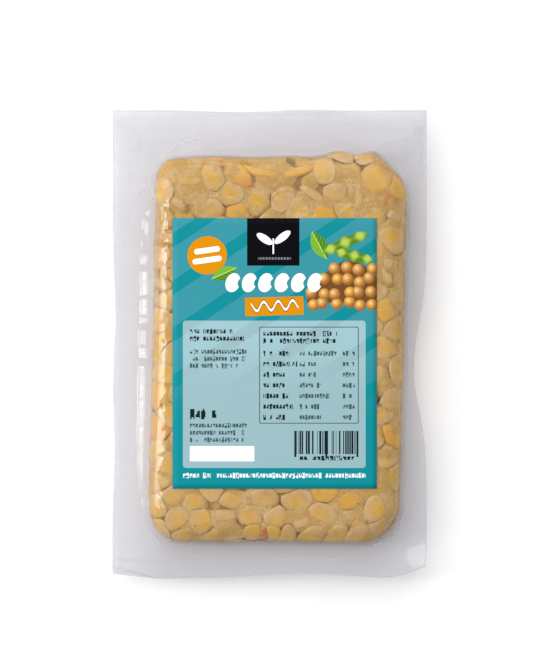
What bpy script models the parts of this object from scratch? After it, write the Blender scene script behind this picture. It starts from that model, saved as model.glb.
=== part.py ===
"""A cake of tempeh, vacuum packed in a clear pouch with a printed label on its front.

The pack lies on its back: +Z points out of the front, +Y to the top edge, and the origin is under the
middle of the pouch, on the surface that it rests on. Sizes are in metres.

Two sheets of film are sealed all round. Between them the cake makes a flat front and a flat back with
round shoulders, and from the shoulders each film runs straight down to the seam, halfway up the cake.
"""

import math
import random

import bmesh
import bpy
import numpy as np

# The pouch, edge to edge.
POUCH_WIDTH = 0.110
POUCH_LENGTH = 0.164
SEAM_THICKNESS = 0.0005  # both films and the seal between them
WAIST_DEPTH = 0.0046  # how far the cake's bulk draws in the right edge
WAIST_HEIGHT = -0.0075  # where it is drawn in most, along Y
WAIST_SPREAD = 0.020
LEFT_WAVE = 0.0005
END_WAVE = 0.0004

# The cake inside it.
CAKE_WIDTH = 0.088
CAKE_LENGTH = 0.1345
CAKE_HEIGHT = 0.018
CAKE_CENTRE = (0.0028, -0.0019)
CAKE_LEAN = 0.022  # sideways run of its long sides for each metre of length
CAKE_CORNERS = {"bottom_left": 0.0135, "bottom_right": 0.0135, "top_right": 0.0155, "top_left": 0.0085}
SHOULDER = 0.007  # radius of the edge round the front and the back

# The film between the cake and the seam.
SEAM_HEIGHT = CAKE_HEIGHT / 2
FOOT_REACH = 0.0045  # how far out of the cake's side the two films meet
FOOT_SHARE = 0.5  # and always less than this share of the way to the pouch's edge
FOOT_BLEND = 5  # how sharply the first of those two gives way to the second
FOOT_EASE = 0.25  # of the reach: the fold between seam and film is softened over this length each way
RIPPLE = 0.0011  # how far the pouch's free edge waves up and down

# The beans that show as low lumps through the front film.
BEAN_PITCH = 0.0095
BEAN_JITTER = 0.3  # of the pitch
BEAN_RELIEF = 0.0009
BEAN_SEED = 7

# The label on the front.
LABEL_WIDTH = 0.071
LABEL_LENGTH = 0.094
LABEL_THICKNESS = 0.0003
LABEL_CENTRE = (0.0018, -0.0031)
LABEL_CORNER = 0.0006
LABEL_MARGIN = 0.003  # the lumps fade out over this distance round it
CLEARANCE = 0.0003

# The net of quads that both films are made of: rings run round the pouch, numbered from its edge.
CELLS_ACROSS = 46
CELLS_ALONG = 62
FOOT_RING = 3
TANGENT_RING = 6
PLATEAU_RING = 9
MIDDLE_RING = CELLS_ACROSS // 2
CORNER_SHARE = 0.15  # of each side's cells, for its half of a corner's arc

SIDES = {
    # side: (its two corners, the axis that it runs along, the sign of the other axis)
    "bottom": ("bottom_left", "bottom_right", 0, -1),
    "right": ("bottom_right", "top_right", 1, 1),
    "top": ("top_left", "top_right", 0, 1),
    "left": ("bottom_left", "top_left", 1, -1),
}


def clear_scene():
    for obj in list(bpy.data.objects):
        bpy.data.objects.remove(obj)


def plain_material(name, colour, roughness):
    material = bpy.data.materials.new(name)
    material.use_nodes = True
    shader = material.node_tree.nodes["Principled BSDF"]
    shader.inputs["Base Color"].default_value = (*colour, 1.0)
    shader.inputs["Roughness"].default_value = roughness
    shader.inputs["Metallic"].default_value = 0.0
    return material


def object_from(mesh_maker, name, material):
    """An object with the mesh that mesh_maker fills in."""
    work = bmesh.new()
    mesh_maker(work)
    mesh = bpy.data.meshes.new(name)
    work.to_mesh(mesh)
    work.free()
    mesh.materials.append(material)
    obj = bpy.data.objects.new(name, mesh)
    bpy.context.scene.collection.objects.link(obj)
    return obj


def between(first, last, part):
    return first + (last - first) * part


# ---- Plan: where each point of the net lies over the ground ----


def on_ground(axis, along, across):
    """The place over the ground of a point given along and across the side of a cake that stands square."""
    x, y = (along, across) if axis == 0 else (across, along)
    return np.array((x + CAKE_CENTRE[0] + CAKE_LEAN * y, y + CAKE_CENTRE[1]))


def straight_ends(side):
    """Where the straight stretch of one side of the cake begins and ends, along its axis."""
    first, last, axis, _ = SIDES[side]
    half = (CAKE_WIDTH, CAKE_LENGTH)[axis] / 2
    return CAKE_CORNERS[first] - half, half - CAKE_CORNERS[last]


def outline_point(side, share, outwards):
    """The point that lies outwards of a share of one side of the cake's outline. A side runs between the
    middles of its corners' arcs."""
    first, last, axis, sign = SIDES[side]
    half = (CAKE_LENGTH, CAKE_WIDTH)[axis] / 2
    begin, end = straight_ends(side)
    shares = (0, CORNER_SHARE, 1 - CORNER_SHARE, 1)
    turn = math.pi / 4 * np.interp(share, shares, (-1, 0, 0, 1))
    radius = CAKE_CORNERS[first if share < 0.5 else last]
    along = np.interp(share, shares, (begin, begin, end, end)) + (radius + outwards) * math.sin(turn)
    across = sign * (half - radius + (radius + outwards) * math.cos(turn))
    return on_ground(axis, along, across)


def middle_point(side, share):
    """The point of the cake's middle line that a share of one side runs in to."""
    half = (CAKE_LENGTH - CAKE_WIDTH) / 2
    along = {"bottom": -half, "top": half}.get(side, (2 * share - 1) * half)
    return on_ground(1, along, 0.0)


def edge_point(side, share):
    """The point at a share of one side of the pouch's own edge, which the cake's bulk draws in."""
    half_width, half_length = POUCH_WIDTH / 2, POUCH_LENGTH / 2
    axis = SIDES[side][2]
    half = (half_width, half_length)[axis]
    begin, end = ((place + CAKE_CENTRE[axis]) / half for place in straight_ends(side))
    along = np.interp(share, (0, CORNER_SHARE, 1 - CORNER_SHARE, 1), (-1, begin, end, 1))
    bow = math.cos(along * math.pi / 2) ** 2
    if side == "right":
        waist = WAIST_DEPTH * math.exp(-(((along * half - WAIST_HEIGHT) / WAIST_SPREAD) ** 2))
        return np.array((half_width - waist, along * half))
    if side == "left":
        wave = LEFT_WAVE * bow * (1 + math.sin(3 * math.pi * along))
        return np.array((wave - half_width, along * half))
    sign = 1 if side == "top" else -1
    wave = END_WAVE * bow * (1 - math.sin(2 * math.pi * along))
    return np.array((along * half, sign * (half_length - wave)))


def foot_reach(side, share):
    """How far outside the cake's outline the two films meet there."""
    room = math.dist(outline_point(side, share, 0.0), edge_point(side, share))
    limits = (FOOT_REACH, FOOT_SHARE * room)
    return sum(limit**-FOOT_BLEND for limit in limits) ** (-1 / FOOT_BLEND)


# ---- Height: the films over that plan ----


def film_profile(reach, ring):
    """(inset, height over the seam) of the film at a ring from its foot to the top of the shoulder.

    The film runs straight from the foot until it touches the shoulder's arc, and then follows the arc. Its
    first cell spans the fold at the foot, so that the film leaves the seam in two gentle bends."""
    centre = (SHOULDER, SEAM_HEIGHT - SHOULDER)
    foot = (-reach, SEAM_THICKNESS / 2)
    run, rise = centre[0] - foot[0], centre[1] - foot[1]
    distance = math.hypot(run, rise)
    slope = math.atan2(rise, run) + math.asin(SHOULDER / distance)
    ease = FOOT_EASE * reach
    if ring == FOOT_RING:
        return (foot[0] - ease, foot[1])
    if ring <= TANGENT_RING:
        free = math.sqrt(distance**2 - SHOULDER**2)
        part = between(ease, free, (ring - FOOT_RING - 1) / (TANGENT_RING - FOOT_RING - 1))
        return (foot[0] + part * math.cos(slope), foot[1] + part * math.sin(slope))
    turn = slope * (PLATEAU_RING - ring) / (PLATEAU_RING - TANGENT_RING)
    return (centre[0] - SHOULDER * math.sin(turn), centre[1] + SHOULDER * math.cos(turn))


def ripple(x, y):
    """How far the pouch's free edge stands above or below the middle of the seam."""
    across = math.sin(x / POUCH_WIDTH * 2.6 * math.pi + 0.6)
    along = math.sin(y / POUCH_LENGTH * 3.4 * math.pi - 0.9)
    return RIPPLE * (0.5 * across + 0.5 * along)


def bean_centres():
    """The middles of the beans that press on the front film: a staggered grid, shaken up."""
    shaken = random.Random(BEAN_SEED)
    rows = int(CAKE_LENGTH / BEAN_PITCH) + 2
    columns = int(CAKE_WIDTH / BEAN_PITCH) + 2
    centres = []
    for row in range(-rows // 2, rows // 2 + 1):
        for column in range(-columns // 2, columns // 2 + 1):
            x = (column + 0.5 * (row % 2) + shaken.uniform(-BEAN_JITTER, BEAN_JITTER)) * BEAN_PITCH
            y = (row + shaken.uniform(-BEAN_JITTER, BEAN_JITTER)) * BEAN_PITCH
            centres.append((x + CAKE_CENTRE[0], y + CAKE_CENTRE[1]))
    return centres


def label_fade(x, y):
    """0 under the label, which is stuck on flat, and 1 well away from it."""
    outside = max(
        abs(x - LABEL_CENTRE[0]) - LABEL_WIDTH / 2 - BEAN_PITCH / 4,
        abs(y - LABEL_CENTRE[1]) - LABEL_LENGTH / 2 - BEAN_PITCH / 4,
    )
    return min(max(outside / LABEL_MARGIN, 0.0), 1.0)


def bean_relief(x, y, centres):
    """How far the film dips between the beans."""
    nearest = min(math.dist((x, y), centre) for centre in centres)
    dip = min(nearest / (0.6 * BEAN_PITCH), 1.0) ** 2
    return BEAN_RELIEF * dip * label_fade(x, y)


def film_point(side, share, ring, front, centres):
    """One point of the front or the back film."""
    sign = 1 if front else -1
    reach = foot_reach(side, share)
    if ring < FOOT_RING:
        part = 1 - ring / FOOT_RING
        foot = outline_point(side, share, reach * (1 + FOOT_EASE))
        x, y = between(foot, edge_point(side, share), part)
        return (x, y, SEAM_HEIGHT + part * ripple(x, y) + sign * SEAM_THICKNESS / 2)
    inset, height = film_profile(reach, min(ring, PLATEAU_RING))
    inwards = max(ring - PLATEAU_RING, 0) / (MIDDLE_RING - PLATEAU_RING)
    x, y = between(outline_point(side, share, -inset), middle_point(side, share), inwards)
    if front and ring > TANGENT_RING:
        height -= bean_relief(x, y, centres)
    return (x, y, SEAM_HEIGHT + sign * height)


# ---- Pieces ----


def ring_place(column, row):
    """(side, share of it, ring) of a point of the net."""
    ring = min(column, CELLS_ACROSS - column, row, CELLS_ALONG - row)
    across = (column - ring) / max(CELLS_ACROSS - 2 * ring, 1)
    along = (row - ring) / (CELLS_ALONG - 2 * ring)
    if column == ring:
        return "left", along, ring
    if column == CELLS_ACROSS - ring:
        return "right", along, ring
    return ("bottom" if row == ring else "top"), across, ring


def fill_pouch(work):
    """Both films, joined at the pouch's edge into one closed body."""
    centres = bean_centres()
    sheets = []
    for front in (True, False):
        sheet = {}
        for column in range(CELLS_ACROSS + 1):
            for row in range(CELLS_ALONG + 1):
                side, share, ring = ring_place(column, row)
                sheet[column, row] = work.verts.new(film_point(side, share, ring, front, centres))
        sheets.append(sheet)
        for column in range(CELLS_ACROSS):
            for row in range(CELLS_ALONG):
                loop = [(column, row), (column + 1, row), (column + 1, row + 1), (column, row + 1)]
                work.faces.new([sheet[place] for place in (loop if front else reversed(loop))])
    rim = [(column, 0) for column in range(CELLS_ACROSS)]
    rim += [(CELLS_ACROSS, row) for row in range(CELLS_ALONG)]
    rim += [(column, CELLS_ALONG) for column in range(CELLS_ACROSS, 0, -1)]
    rim += [(0, row) for row in range(CELLS_ALONG, 0, -1)]
    for here, after in zip(rim, rim[1:] + rim[:1]):
        work.faces.new([sheets[0][after], sheets[0][here], sheets[1][here], sheets[1][after]])
    flatten_back(work)
    bmesh.ops.recalc_face_normals(work, faces=work.faces)


def flatten_back(work):
    """Puts the back's flat in one plane, z = 0, and makes it one face."""
    level = 1e-6
    for vert in work.verts:
        if abs(vert.co.z) < level:
            vert.co.z = 0.0
    flat = [face for face in work.faces if all(vert.co.z == 0.0 for vert in face.verts)]
    bmesh.ops.dissolve_faces(work, faces=flat, use_verts=True)
    bmesh.ops.triangulate(work, faces=work.faces, quad_method="SHORT_EDGE")


def fill_label(work):
    """A flat plate with small round corners."""
    bmesh.ops.create_cube(work, size=1.0)
    bmesh.ops.scale(work, vec=(LABEL_WIDTH, LABEL_LENGTH, LABEL_THICKNESS), verts=work.verts)
    upright = [e for e in work.edges if abs(e.verts[0].co.z - e.verts[1].co.z) > LABEL_THICKNESS / 2]
    bmesh.ops.bevel(work, geom=upright, offset=LABEL_CORNER, segments=3, profile=0.5, affect="EDGES")


def build():
    clear_scene()
    packed_food = plain_material("tempeh_in_film", (0.53, 0.32, 0.13), 0.35)
    print_film = plain_material("label_print", (0.009, 0.33, 0.38), 0.4)
    pouch = object_from(fill_pouch, "pouch", packed_food)
    pouch.data.shade_smooth()
    pouch.data.set_sharp_from_angle(angle=math.radians(50))
    label = object_from(fill_label, "label", print_film)
    label.location = (*LABEL_CENTRE, CAKE_HEIGHT + CLEARANCE + LABEL_THICKNESS / 2)


build()
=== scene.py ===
"""The look of a vacuum-packed cake of tempeh.

Soybean halves grown together fill a clear pouch, whose film is drawn tight over them and sealed flat all round.
A printed label is stuck on the front. The pack lies on its back, so that its front looks up.
"""

import math

import bpy
import numpy as np
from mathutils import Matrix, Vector, noise
from mathutils.bvhtree import BVHTree


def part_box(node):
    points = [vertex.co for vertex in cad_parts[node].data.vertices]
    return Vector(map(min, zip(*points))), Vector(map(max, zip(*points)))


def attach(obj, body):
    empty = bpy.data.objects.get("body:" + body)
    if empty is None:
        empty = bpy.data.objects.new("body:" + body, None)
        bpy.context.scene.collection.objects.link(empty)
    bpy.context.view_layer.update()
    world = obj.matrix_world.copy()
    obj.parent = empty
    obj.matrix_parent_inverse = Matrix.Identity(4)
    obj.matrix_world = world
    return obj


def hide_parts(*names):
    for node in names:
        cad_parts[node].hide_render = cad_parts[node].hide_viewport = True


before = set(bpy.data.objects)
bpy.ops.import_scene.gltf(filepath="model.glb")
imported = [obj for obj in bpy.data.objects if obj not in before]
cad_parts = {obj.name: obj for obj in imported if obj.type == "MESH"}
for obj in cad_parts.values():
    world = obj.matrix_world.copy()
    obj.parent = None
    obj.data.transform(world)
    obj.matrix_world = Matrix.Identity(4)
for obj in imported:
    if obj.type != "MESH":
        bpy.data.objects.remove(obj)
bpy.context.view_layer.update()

MM = 0.001

# ---- Sizes ----

POUCH_LOW, POUCH_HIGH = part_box("pouch")
LABEL_LOW, LABEL_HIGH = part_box("label")

# The cake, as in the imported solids.
CAKE_WIDTH = 88 * MM
CAKE_LENGTH = 134.5 * MM
CAKE_HEIGHT = POUCH_HIGH.z - POUCH_LOW.z
CAKE_CENTRE = (2.8 * MM, -1.9 * MM)
CAKE_LEAN = 0.022
CAKE_CORNERS = {
    "bottom_left": 13.5 * MM,
    "bottom_right": 13.5 * MM,
    "top_right": 15.5 * MM,
    "top_left": 8.5 * MM,
}
SHOULDER = 7 * MM
EDGE_SWELL = 0.55 * MM  # how far the cake's edge swells and dips as it runs round
EDGE_LENGTH = 13 * MM
EDGE_FADE = 5 * MM
EDGE_HUMPS = [
    # (x, y, height, spread): where a lump of beans stands out of the cake's edge
    (24.2 * MM, 65.3 * MM, 2.0 * MM, 5.2 * MM),
    (35.6 * MM, 65.0 * MM, 1.9 * MM, 4.2 * MM),
]
SEAM_HEIGHT = CAKE_HEIGHT / 2

# The beans.
BEAN_LENGTH = 14 * MM
BEAN_WIDTH = 11 * MM
BEAN_THICKNESS = 5.2 * MM
BEAN_SPACING = 7.4 * MM
RUGGED = 0.07  # how uneven a bean's outline is, as a share of its reach
MARKED_CLAIM = 0.75  # how far a bean with a place of its own makes way, next to 1 for the rest
BEAN_SEED = 5
BEAN_SEGMENTS = 16
BEAN_RINGS = 9
CREVICE = 0.012  # the share of its own reach that a bean draws back from its neighbours
PRESS = 0.22 * MM  # how gradually the film stops a bean that would stand out
RIM_DEPTH = 1.5 * MM  # down to here the beans' rims are flattened to this share of their slope
RIM_SLOPE = 0.3
CORE_DEPTH = 0.05 * MM  # from the cake's surface to the mass of fine threads between the beans
CORE_RELIEF = 0.8 * MM  # how much deeper the mass is where the cracks between the beans are open
OPEN_LEVEL = 0.9

# Beans that catch the eye: place from the cake's centre, turn, length and thickness, tone, whether it lies on edge.
MARKED_BEANS = [
    (-6.6, 62.6, -15, 18.0, 3.8, 0.90, True),
    (8.2, 63.2, 21, 17.5, 3.8, 0.92, True),
    (-30.5, 59.0, 2, 12.0, 4.0, 0.80, True),
    (34.5, 59.0, -12, 12.0, 5.0, 0.84, False),
    (27.8, 52.0, 88, 10.0, 4.0, 0.78, True),
    (37.6, 52.4, 70, 7.0, 2.6, 0.985, True),
    (-5.0, -65.5, 88, 6.5, 3.0, 0.995, True),
    (24.8, -52.6, 20, 9.0, 5.0, 0.965, False),
    (-8.5, -64.0, 80, 9.0, 5.0, 0.80, False),
    (-1.0, -64.0, 100, 9.0, 5.0, 0.82, False),
]

# The pouch's film.
FILM_GAP = 0.06 * MM
SEAM_GAP = 0.1 * MM
FOOT_REACHES = {"bottom": 0.8 * MM, "right": 1.0 * MM, "top": 0.5 * MM, "left": 4.6 * MM}
TENT_SAGS = {"left": 0.7 * MM}
SAG_PEAK = 729 / 16  # makes the highest value of share**2 * (1 - share)**4 a whole one
CORNER_REACH = 1.0 * MM
FOOT_SHARE = 0.5
FOOT_BLEND = 5
FOLD_RADIUS = 1.0 * MM
WAIST_DEPTH = 4.6 * MM
WAIST_HEIGHT = -7.5 * MM
WAIST_SPREAD = 20 * MM
LEFT_WAVE = 0.5 * MM
END_WAVE = 0.4 * MM
FOOT_WAVE = 1.9 * MM  # how far the bottom edge is drawn in, a little right of its middle
FOOT_WAVE_PLACE = 0.2
FOOT_WAVE_SPREAD = 0.42
CURL_REACH = 15 * MM  # the bottom right corner curls up
CURL_RISE = 3.5 * MM
CURL_DRAW = 4.6 * MM
FOLD_ACROSS = 16 * MM  # the bottom left corner is bent back along a line between these places on its sides
FOLD_UP = 4.6 * MM
FOLD_SLOPE = 0.6
RIPPLE = 1.1 * MM
VACUUM = 0.035 * MM  # how far each step of its settling draws the film in
SETTLING_STEPS = 80
PLEAT = 0.5 * MM
PLEAT_LENGTH = 7 * MM
SEAM_FOLD = 0.22 * MM
SEAM_FOLD_FADE = 9 * MM
EDGE_ROLL = 0.8 * MM
EDGE_ROLL_WIDTH = 3 * MM
# Painted highlights: white arcs laid into the film's veil on its sharp bends.
ARC_CREASE_HIGHLIGHTS = [
    # (middle, radius, first and last angle in degrees)
    ((-18.0 * MM, 44.6 * MM), 28.5 * MM, 92, 172),
    ((32.2 * MM, -55.6 * MM), 15.3 * MM, -112, 2),
]

# Painted highlights: short white strokes laid into the film's veil on its bends.
CREASE_HIGHLIGHTS = [
    # (start, end, half width, blur, strength)
    ((-41.6 * MM, -66.0 * MM), (-38.8 * MM, -69.8 * MM), 0.4 * MM, 0.5 * MM, 0.7),
    ((-53.0 * MM, -75.4 * MM), (-22.0 * MM, -76.2 * MM), 0.1 * MM, 1.0 * MM, 0.5),
    ((51.6 * MM, 76.5 * MM), (52.4 * MM, 69.0 * MM), 0.6 * MM, 2.2 * MM, 0.7),
    ((52.9 * MM, 70.0 * MM), (53.4 * MM, 58.0 * MM), 0.1 * MM, 1.0 * MM, 0.6),
    ((-45.7 * MM, 71.4 * MM), (-45.7 * MM, 68.8 * MM), 0.2 * MM, 0.4 * MM, 0.8),
    ((-41.2 * MM, 54.0 * MM), (-40.4 * MM, 51.6 * MM), 0.2 * MM, 1.4 * MM, 0.6),
    ((-29.0 * MM, -69.5 * MM), (-27.0 * MM, -72.5 * MM), 0.1 * MM, 0.7 * MM, 0.5),
]

# Its net of quads. Rings run round the pouch, numbered from its edge.
CELLS_ACROSS = 184
CELLS_ALONG = 256
FOOT_RING = 20
FOLD_RING = 26
TANGENT_RING = 42
PLATEAU_RING = 52
MIDDLE_RING = CELLS_ACROSS // 2
CORNER_SHARE = 0.12

SIDES = {
    # side: (its two corners, the axis that it runs along, the sign of the other axis)
    "bottom": ("bottom_left", "bottom_right", 0, -1),
    "right": ("bottom_right", "top_right", 1, 1),
    "top": ("top_left", "top_right", 0, 1),
    "left": ("bottom_left", "top_left", 1, -1),
}

# The label.
LABEL_THICKNESS = 0.12 * MM
LABEL_GAP = 0.05 * MM
LABEL_SWELL = 0.1 * MM
LABEL_CELL = 2 * MM


def colour(red, green, blue):
    """A colour of the usual 0 to 255 scale as a shader takes it."""
    linear = []
    for part in (red, green, blue):
        share = part / 255
        linear.append(share / 12.92 if share <= 0.04045 else ((share + 0.055) / 1.055) ** 2.4)
    return (*linear, 1.0)


# ---- Node trees ----


class Value:
    """One output of a node. An operator on it adds the Math node that works it out."""

    def __init__(self, tree, socket):
        self.tree = tree
        self.socket = socket

    def also(self, output):
        """Another output of the same node."""
        return Value(self.tree, self.socket.node.outputs[output])

    def maths(self, operation, *others):
        return self.tree.node("ShaderNodeMath", {"operation": operation}, (self, *others))

    def __add__(self, other):
        return self.maths("ADD", other)

    def __sub__(self, other):
        return self.maths("SUBTRACT", other)

    def __rsub__(self, other):
        return self.tree.node("ShaderNodeMath", {"operation": "SUBTRACT"}, (other, self))

    def __mul__(self, other):
        return self.maths("MULTIPLY", other)

    def __truediv__(self, other):
        return self.maths("DIVIDE", other)

    def __pow__(self, other):
        return self.maths("POWER", other)

    def __mod__(self, other):
        return self.maths("FLOORED_MODULO", other)

    def __lt__(self, other):
        return self.maths("LESS_THAN", other)

    def __gt__(self, other):
        return self.maths("GREATER_THAN", other)

    def __abs__(self):
        return self.maths("ABSOLUTE")

    def __floor__(self):
        return self.maths("FLOOR")

    def near(self, other, reach):
        """1 within reach of the other number, and 0 elsewhere."""
        return self.maths("COMPARE", other, reach)

    def at_least(self, other):
        return self.maths("MAXIMUM", other)

    def at_most(self, other):
        return self.maths("MINIMUM", other)

    __radd__ = __add__
    __rmul__ = __mul__


class Tree:
    """Adds nodes to a shader or geometry tree."""

    def __init__(self, tree):
        self.tree = tree

    def node(self, kind, settings=None, inputs=(), output=0):
        """A node of that kind with its settings, and its inputs by name or in order."""
        made = self.tree.nodes.new(kind)
        for name, value in (settings or {}).items():
            if name == "stops":
                self.set_stops(made.color_ramp.elements, value)
            else:
                setattr(made, name, value)
        pairs = inputs.items() if isinstance(inputs, dict) else enumerate(inputs)
        for name, value in pairs:
            if isinstance(value, Value):
                self.tree.links.new(value.socket, made.inputs[name])
            else:
                made.inputs[name].default_value = value
        return Value(self, made.outputs[output]) if made.outputs else None

    @staticmethod
    def set_stops(elements, stops):
        while len(elements) < len(stops):
            elements.new(1.0)
        for element, (place, shade) in zip(elements, stops):
            element.position = place
            element.color = shade

    def mixed(self, share, first, second):
        """The first colour where share is 0, and the second where it is 1."""
        return self.node("ShaderNodeMix", {"data_type": "RGBA"}, {0: share, 6: first, 7: second}, output=2)

    def eased(self, value, low, high):
        """0 up to low and 1 from high, with a smooth change between."""
        settings = {"interpolation_type": "SMOOTHSTEP"}
        return self.node("ShaderNodeMapRange", settings, {0: value, 1: low, 2: high, 3: 0.0, 4: 1.0})

    def attribute(self, name):
        return self.node("ShaderNodeAttribute", {"attribute_name": name}, output="Fac")

    def place(self):
        """A point's place in the object, in metres."""
        return self.node("ShaderNodeTexCoord", output="Object")

    def shifted(self, far):
        """The same place in another part of the noise."""
        return self.node("ShaderNodeVectorMath", inputs=(self.place(), (far, far, far)))

    def cloud(self, size, detail=2.0, roughness=0.5, place=None):
        """Soft noise whose patches are about size metres wide."""
        inputs = {"Vector": place or self.place(), "Scale": 1 / size, "Detail": detail, "Roughness": roughness}
        return self.node("ShaderNodeTexNoise", inputs=inputs, output=0)

    def bump(self, height, distance, strength=1.0):
        inputs = {"Height": height, "Distance": distance, "Strength": strength}
        return self.node("ShaderNodeBump", inputs=inputs)


def new_material(name):
    material = bpy.data.materials.new(name)
    material.use_nodes = True
    material.node_tree.nodes.clear()
    return material, Tree(material.node_tree)


def finish_with(paint, shader):
    paint.node("ShaderNodeOutputMaterial", inputs={"Surface": shader})


# ---- Finishes ----


def threads_over(paint):
    """The colour of the pale threads that fill the gaps and creep over the beans' rims, and their strands."""
    strands = paint.cloud(0.7 * MM, 6.0, 0.65)
    patches = paint.eased(paint.cloud(5 * MM, 2.0), 0.38, 0.64)
    pale = paint.mixed(patches, colour(192, 151, 68), colour(206, 171, 112))
    return paint.mixed(paint.eased(strands, 0.34, 0.6), colour(182, 139, 66), pale), strands


def finish_flesh(paint, shade, roughness, surface):
    """Moist, slightly see-through flesh, with small dark brown spots, and brown where it lies deep in its cracks, which
    is painted shade.
    """
    depth = paint.attribute("depth")
    uneven = (paint.cloud(5 * MM) - 0.5) * (1.4 * MM)
    inputs = {"Vector": paint.place(), "Scale": 1 / (7 * MM)}
    dark_spots = paint.node("ShaderNodeTexVoronoi", inputs=inputs) < 0.05
    # Painted shade: darker brown the deeper the surface lies in the cracks between the beans, with small dark brown
    # spots as well.
    dark = (paint.eased(depth + uneven, 0.45 * MM, 1.1 * MM) * 0.85).at_least(dark_spots * 0.7)
    inputs = {
        "Base Color": paint.mixed(dark, shade, colour(112, 68, 30)),
        "Roughness": roughness,
        "Subsurface Weight": 0.3,
        "Subsurface Radius": (1.0, 0.55, 0.25),
        "Subsurface Scale": 1.2 * MM,
        "Normal": surface,
    }
    finish_with(paint, paint.node("ShaderNodeBsdfPrincipled", inputs=inputs))


def bean_finish():
    """Cooked soybean halves, each paler towards its rim, where the threads creep over it."""
    material, paint = new_material("soybean_halves")
    tone = paint.attribute("tone")
    heart = paint.attribute("heart")
    settings = {
        "stops": [
            (0.0, colour(182, 143, 76)),
            (0.15, colour(194, 154, 56)),
            (0.30, colour(192, 148, 96)),
            (0.45, colour(198, 158, 52)),
            (0.60, colour(188, 143, 72)),
            (0.72, colour(204, 162, 40)),
            (0.84, colour(210, 160, 30)),
            (0.93, colour(218, 154, 18)),
            (0.97, colour(200, 128, 50)),
            (1.0, colour(190, 98, 36)),
        ]
    }
    flesh = paint.node("ShaderNodeValToRGB", settings, (tone,))
    sunny = (paint.cloud(8 * MM, 2.0, place=paint.shifted(0.3)) - 0.5) * 1.6
    golden = paint.eased(heart * heart + sunny, 0.4, 0.95)
    flesh = paint.mixed(golden * 0.75, flesh, colour(216, 166, 34))
    veil = paint.eased(paint.cloud(6 * MM, 3.0, 0.6) + 0.5 * (1 - heart * heart), 0.36, 0.9)
    bright = paint.eased(tone, 0.8, 0.9)
    skin = paint.mixed(veil * (0.85 - 0.7 * bright), flesh, colour(207, 171, 114))
    stain = paint.eased(paint.cloud(2.2 * MM, 5.0, 0.65), 0.45, 0.72)
    mottled = paint.mixed(stain * 0.3, skin, colour(174, 124, 54))
    threads, strands = threads_over(paint)
    fine = paint.eased(strands, 0.5, 0.72) * 0.25
    covered = paint.eased(paint.attribute("depth"), 0.01 * MM, 0.06 * MM) * (0.95 - 0.8 * bright)
    shade = paint.mixed(fine.at_least(covered), mottled, threads)
    surface = paint.bump(paint.cloud(1.0 * MM, 4.0, 0.6), 0.06 * MM)
    finish_flesh(paint, shade, 0.42 + paint.cloud(2 * MM) * 0.2, surface)
    return material


def thread_finish():
    """The mass of pale threads between and under the beans."""
    material, paint = new_material("fungus_threads")
    shade, strands = threads_over(paint)
    finish_flesh(paint, shade, 0.7, paint.bump(strands, 0.15 * MM))
    return material


def film_crease_highlights(paint):
    """Painted highlights: thin white lines and strokes laid into the film's veil where it is sharply bent, as whitened
    film: near 1 on a line, and fading towards its ends.
    """
    place = paint.place()
    x, y = [paint.node("ShaderNodeSeparateXYZ", inputs=(place,), output=axis) for axis in "XY"]
    fold = (x + POUCH_HIGH.x) * FOLD_UP + (y + POUCH_HIGH.y) * FOLD_ACROSS - FOLD_ACROSS * FOLD_UP
    off = abs(fold / math.hypot(FOLD_ACROSS, FOLD_UP) + 0.2 * MM)
    lines = 1 - paint.eased(off, 0.12 * MM, 0.34 * MM)
    for (middle_x, middle_y), radius, start, end in ARC_CREASE_HIGHLIGHTS:
        right, up = x - middle_x, y - middle_y
        off = abs((right * right + up * up) ** 0.5 - radius)
        turn = paint.node("ShaderNodeMath", {"operation": "ARCTAN2"}, (up, right)) * (180 / math.pi)
        along = 1 - abs(turn - (start + end) / 2) * (2 / (end - start))
        line = (1 - paint.eased(off, 0.18 * MM, 0.46 * MM)) * paint.eased(along, 0.0, 0.5)
        lines = lines.at_least(line)
    lines = lines * (0.35 + 0.65 * paint.eased(paint.cloud(4 * MM, 3.0), 0.4, 0.6)) * 0.85
    for (start_x, start_y), (end_x, end_y), core, blur, strength in CREASE_HIGHLIGHTS:
        long_x, long_y = end_x - start_x, end_y - start_y
        right, up = x - start_x, y - start_y
        share = (right * long_x + up * long_y) * (1 / (long_x**2 + long_y**2))
        share = share.at_least(0.0).at_most(1.0)
        right, up = right - share * long_x, up - share * long_y
        off = (right * right + up * up) ** 0.5 + (paint.cloud(2.5 * MM, 3.0) - 0.5) * (0.8 * blur)
        lines = lines.at_least((1 - paint.eased(off, core, core + blur)) * strength)
    return lines


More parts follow.
